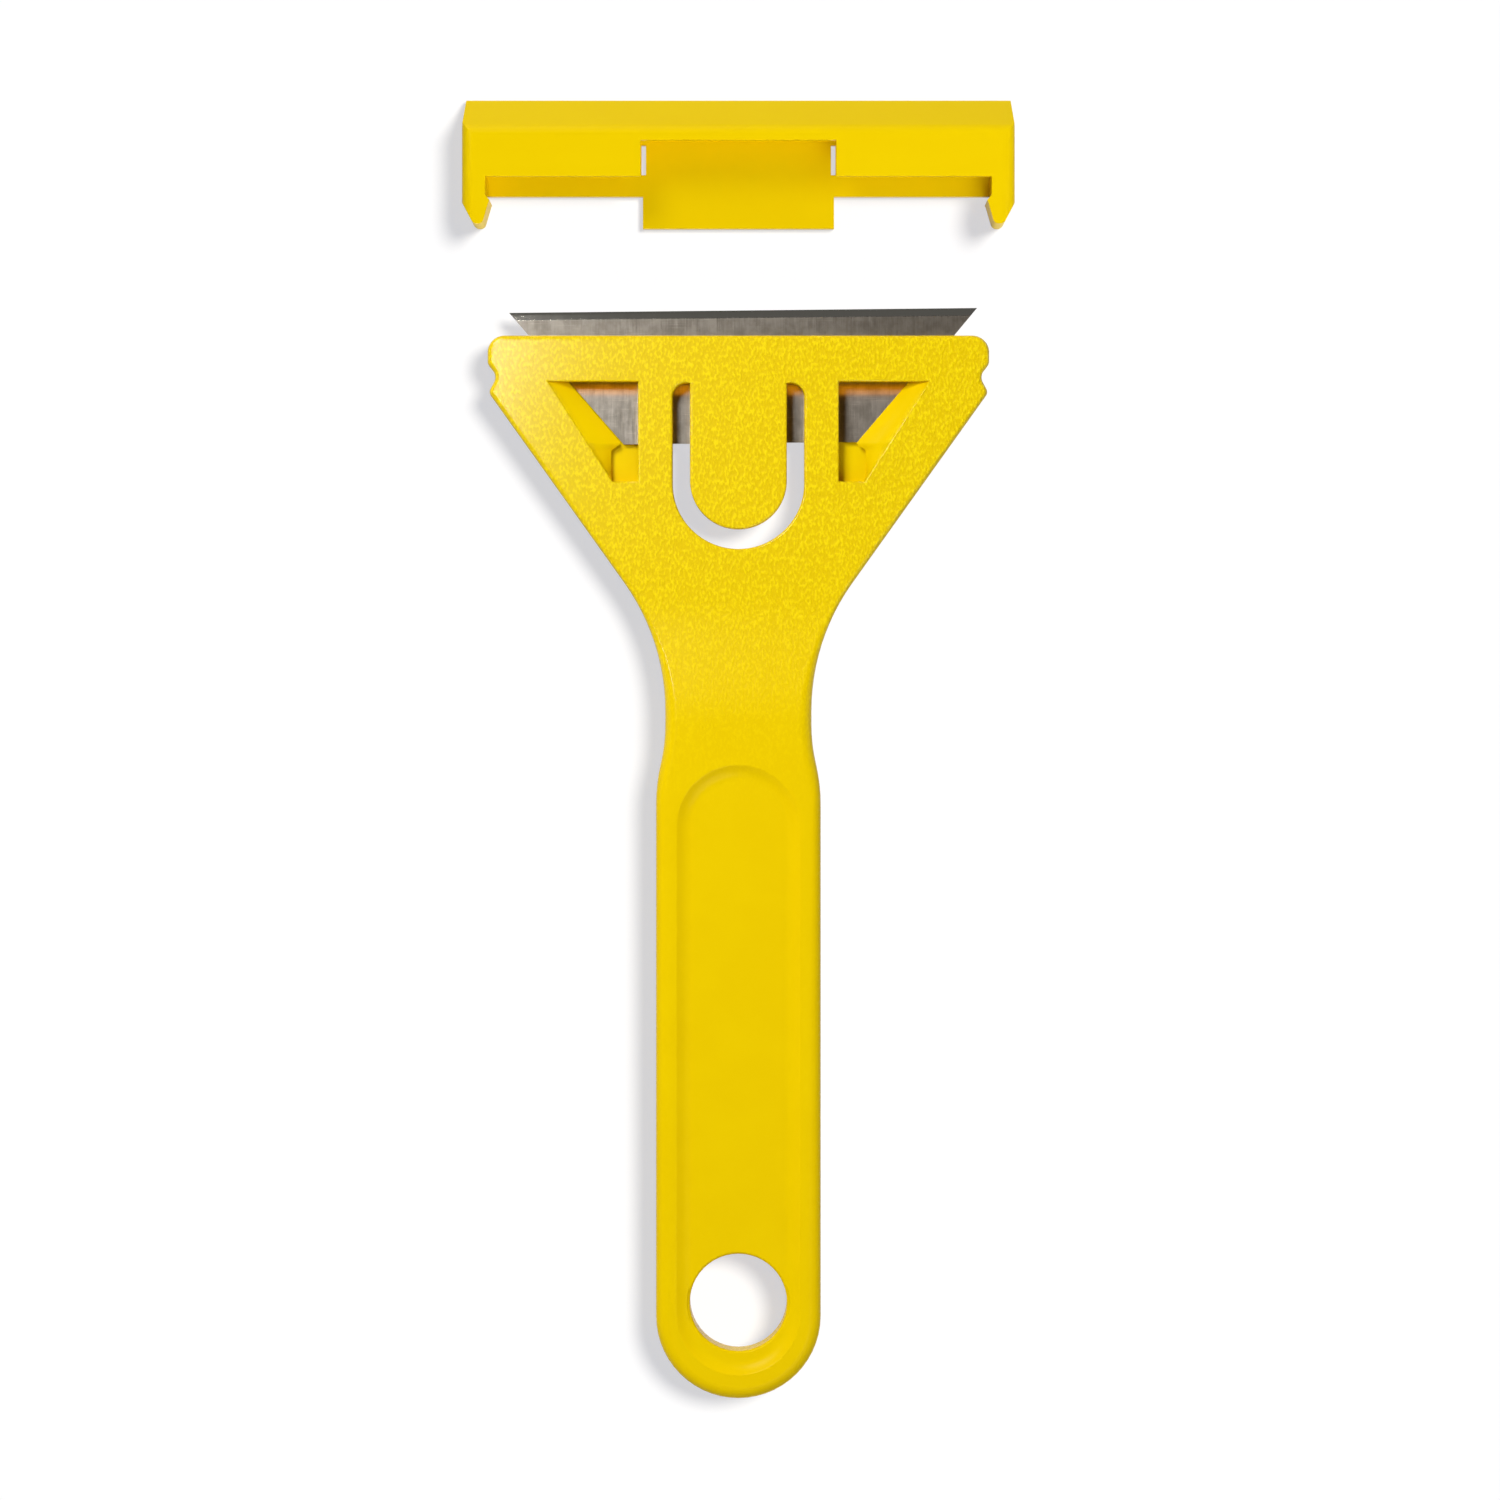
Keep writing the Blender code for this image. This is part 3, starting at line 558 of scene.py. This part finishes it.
def makeCap(plastic):
    shape = capSetup
    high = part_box("safety_cap")[1]
    side, front, top = high.x, high.y, high.z
    inner = side - shape["endWall"]
    floorEnd = front - shape["floorDepth"]
    roofEnd = front - shape["roofDepth"]
    rise = top - shape["noseFoot"]
    near, past = modelling["near"], shape["past"]

    cap = addBlock("bladeCap", (-side, floorEnd, 0), (side, front, top))
    sliceOff(cap, (0, front, shape["noseFoot"]), (0, rise, shape["noseDepth"]))
    for sign in (-1, 1):
        sliceOff(cap, (sign * (side - shape["noseTaper"]), front, 0),
                 (sign * shape["noseDepth"], shape["noseTaper"], 0))
    roundLines(cap, lambda edge: runsAlong(edge, 0) and middleOf(edge).z > top - past
               and middleOf(edge).y > floorEnd + past, *shape["noseTopEdge"])
    roundLines(cap, lambda edge: runsAlong(edge, 0) and middleOf(edge).y > front - near,
               *shape["noseFootEdge"])
    rightArm = makeArm(side, inner, front, top)
    tab = addBlock("tab", (-shape["tabHalfWidth"], front - shape["tabDepth"], 0),
                   (shape["tabHalfWidth"], floorEnd + shape["overlap"], shape["wall"]))
    for added in (rightArm, mirrorCopy(rightArm), tab):
        combine(cap, added, "UNION")

    # shoulders and feet, rounded from end to end
    ends = addBlock("ends", (-side, front - shape["hookDepth"] - past, 0),
                    (side, front + past, top))
    roundLines(ends, lambda edge: runsAlong(edge, 1) and middleOf(edge).z > past,
               *shape["shoulder"])
    roundLines(ends, lambda edge: runsAlong(edge, 1) and middleOf(edge).z < near
               and abs(middleOf(edge).x) > side - past, *shape["foot"])
    combine(cap, ends, "INTERSECT")

    # the hollow, open to the rear, with its front wall slanted like the nose
    noseWall = shape["wall"] * math.hypot(rise, shape["noseDepth"]) / rise
    hollow = addBlock("hollow", (-inner, roofEnd - past, shape["wall"]),
                      (inner, front - noseWall, top - shape["wall"]))
    sliceOff(hollow, (0, front - noseWall, shape["wall"]), (0, rise, shape["noseDepth"]))
    openRear = addBlock("openRear", (-inner, floorEnd - shape["pastFloor"], shape["wall"]),
                        (inner, roofEnd, top + past))
    thumbNotch = addBlock("thumbNotch", (-shape["thumbHalfWidth"], roofEnd - past, top / 2),
                          (shape["thumbHalfWidth"], front - shape["thumbDepth"], top + past))
    slits = []
    for sign in (-1, 1):
        outer = sign * shape["thumbHalfWidth"]
        across = sorted((outer, outer - sign * shape["slitWidth"]))
        slits.append(addBlock("slit", (across[0], front - shape["slitTo"], -past),
                              (across[1], front - shape["slitFrom"], shape["wall"] + past)))
    for removed in (hollow, openRear, thumbNotch, *slits):
        combine(cap, removed, "DIFFERENCE")

    joinFlats(cap)
    softenEdges(cap, *shape["softEdge"], shape["softSharperThan"])
    shadeLikeMoulding(cap)
    cap.data.materials.append(plastic)
    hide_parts("safety_cap", "cap_clip_left", "cap_clip_right")
    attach(cap, "cap")
    return cap


def makeCapPlastic():
    look = capSetup
    board = Board(bpy.data.materials.new("smoothCapPlastic"))
    place = board.place()
    flow = board.noise(board.stretched(place, look["flowStretch"]), *look["flow"])
    ripple = board.noise(place, *look["ripple"])
    board.set(baseColor=board.blendColours(board.between(flow, *look["flowRange"]),
                                           look["yellow"], look["deepYellow"]),
              roughness=look["roughness"] + (ripple - 0.5) * look["rippleRoughness"],
              specular=look["specular"], normal=board.bump(ripple, look["rippleDepth"]))
    return board.owner


cap = makeCap(makeCapPlastic())
print("cap done:", len(cap.data.polygons), "faces")


# a plain white floor, which keeps the shadow that falls to the lower left

floorLook = {
    "size": 3.0,
    "paint": (0.36, 0.35, 0.325, 1.0),
    "roughness": 0.9,
    "glow": (0.588, 0.597, 0.637, 1.0),     # seen by the camera and in mirrors, but lights nothing
}


def makeFloor():
    look = floorLook
    board = Board(bpy.data.materials.new("whiteTable"))
    rays = board.outputs(board.add("ShaderNodeLightPath"))
    seen = rays["Is Camera Ray"] + rays["Is Glossy Ray"] + rays["Is Transmission Ray"]
    board.set(baseColor=look["paint"], roughness=look["roughness"], specular=0.0,
              glow=board.blendColours(seen, (0, 0, 0, 1), look["glow"]), glowStrength=1.0)
    bpy.ops.object.select_all(action="DESELECT")
    bpy.ops.mesh.primitive_plane_add(size=look["size"], location=(0, 0, 0))
    floor = bpy.context.object
    floor.name = "tableTop"
    floor.data.materials.append(board.owner)
    return floor


floor = makeFloor()


# soft studio light: a dim room with a pale horizon, and lamps that each light only their own pieces

lampSetup = {
    "softBox": {"at": (-0.32, 0.48, 0.73), "size": 0.36, "power": 5.95, "on": (body, tongue)},
    "capSoftBox": {"at": (-0.30, 0.60, 0.55), "size": 0.36, "power": 2.2, "on": (cap,)},
    "capFront": {"at": (-0.08, 0.40, 0.10), "size": 0.20, "power": 0.42, "on": (cap,)},
    "capFill": {"at": (0.08, -0.25, 0.40), "size": 0.30, "power": 1.40, "on": (cap,)},
    "sheen": {"at": (-0.066, 0.077, 0.25), "size": 0.05, "power": 0.13, "on": (body, tongue)},
    "fill": {"at": (0.20, -0.28, 0.45), "size": 0.40, "power": 0.90, "on": (body, tongue, cap)},
    "steelSoftBox": {"at": (-0.094, 0.157, 0.135), "towards": (0.0, 0.047, 0.0),
                     "size": 0.10, "power": 1.80, "on": (blade,)},
    "edgeCard": {"at": (0.0, 0.206, 0.264), "towards": (0.0, 0.056, 0.0),
                 "size": 0.16, "power": 0.0100, "on": (blade,)},
    # three lamps for what little light comes through the plastic
    "capSoak": {"at": (0.30, 0.09, 0.40), "towards": (0.0, 0.09, 0.0), "shadow": False,
                "size": 0.30, "power": 0.43, "on": (cap,)},
    "throughPlastic": {"at": (0.0, 0.04, 0.50), "shadow": False, "colour": (1.0, 0.42, 0.04),
                       "size": 0.40, "power": 0.015, "on": (blade,)},
    "barGlow": {"at": (0.0, 46.6 * mm, 5.2 * mm), "towards": (0.0, 46.6 * mm, 0.0),
                "colour": (1.0, 0.36, 0.0), "size": 48.0 * mm, "depth": 1.2 * mm,
                "power": 0.000132, "on": (blade,)},
}
roomSetup = {
    "shadowFrom": (0.50, 0.29, 1.0),
    "shadowSoftness": 20.0,
    "shadowStrength": 3.9,
    "horizon": 0.90,
    "zenith": 0.0,
    "darkAbove": 0.6,
}


def hang(name, kind, on):
    # a lamp that lights only the given pieces
    lamp = bpy.data.objects.new(name, bpy.data.lights.new(name, kind))
    bpy.context.scene.collection.objects.link(lamp)
    lit = bpy.data.collections.new(name + "Lights")
    for piece in on:
        lit.objects.link(piece)
    lamp.light_linking.receiver_collection = lit
    return lamp


def aim(lamp, way):
    lamp.rotation_euler = Vector(way).to_track_quat("-Z", "Y").to_euler()


def addLamp(name, at, size, power, on, towards=(0.0, 0.0, 0.0), colour=(1.0, 1.0, 1.0),
            shadow=True, depth=None):
    lamp = hang(name, "AREA", on)
    lamp.location = at
    aim(lamp, Vector(towards) - Vector(at))
    lamp.data.shape = "RECTANGLE" if depth else "DISK"
    lamp.data.size = size
    lamp.data.size_y = depth or size
    lamp.data.energy = power
    lamp.data.color = colour
    lamp.data.use_shadow = shadow


def makeLights():
    for name, values in lampSetup.items():
        addLamp(name, **values)
    print(len(lampSetup), "lamps hung")
    # the photographed shadow falls to another side than the light on the object would throw it
    sun = hang("shadowSun", "SUN", (floor,))
    aim(sun, -Vector(roomSetup["shadowFrom"]))
    sun.data.energy = roomSetup["shadowStrength"]
    sun.data.angle = math.radians(roomSetup["shadowSoftness"])


def makeRoom():
    room = Board(bpy.data.worlds.new("paleRoom"))
    bpy.context.scene.world = room.owner
    height = room.axes(room.add("ShaderNodeTexCoord"))["Z"]
    background = room.tree.nodes["Background"]
    room.feed(background.inputs["Color"], (1.0, 1.0, 1.0, 1.0))
    room.feed(background.inputs["Strength"],
              room.add("ShaderNodeMapRange", sockets={"Value": height,
                                                      "From Max": roomSetup["darkAbove"],
                                                      "To Min": roomSetup["horizon"],
                                                      "To Max": roomSetup["zenith"]}))


makeLights()
makeRoom()


# the camera looks straight down, framed as in the photograph

cameraSetup = {
    "place": (0.00151, -0.000385, 0.650),
    "lens": 119.06,
    "sensor": 36.0,
    "nearest": 0.01,
    "farthest": 10.0,
}


def makeCamera():
    camera = bpy.data.objects.new("overheadCamera", bpy.data.cameras.new("overheadCamera"))
    camera.location = cameraSetup["place"]
    camera.data.lens = cameraSetup["lens"]
    camera.data.sensor_width = cameraSetup["sensor"]
    camera.data.clip_start = cameraSetup["nearest"]
    camera.data.clip_end = cameraSetup["farthest"]
    bpy.context.scene.collection.objects.link(camera)
    bpy.context.scene.camera = camera


makeCamera()
bpy.context.scene.view_settings.view_transform = "Standard"
print("stage, lights and camera done")
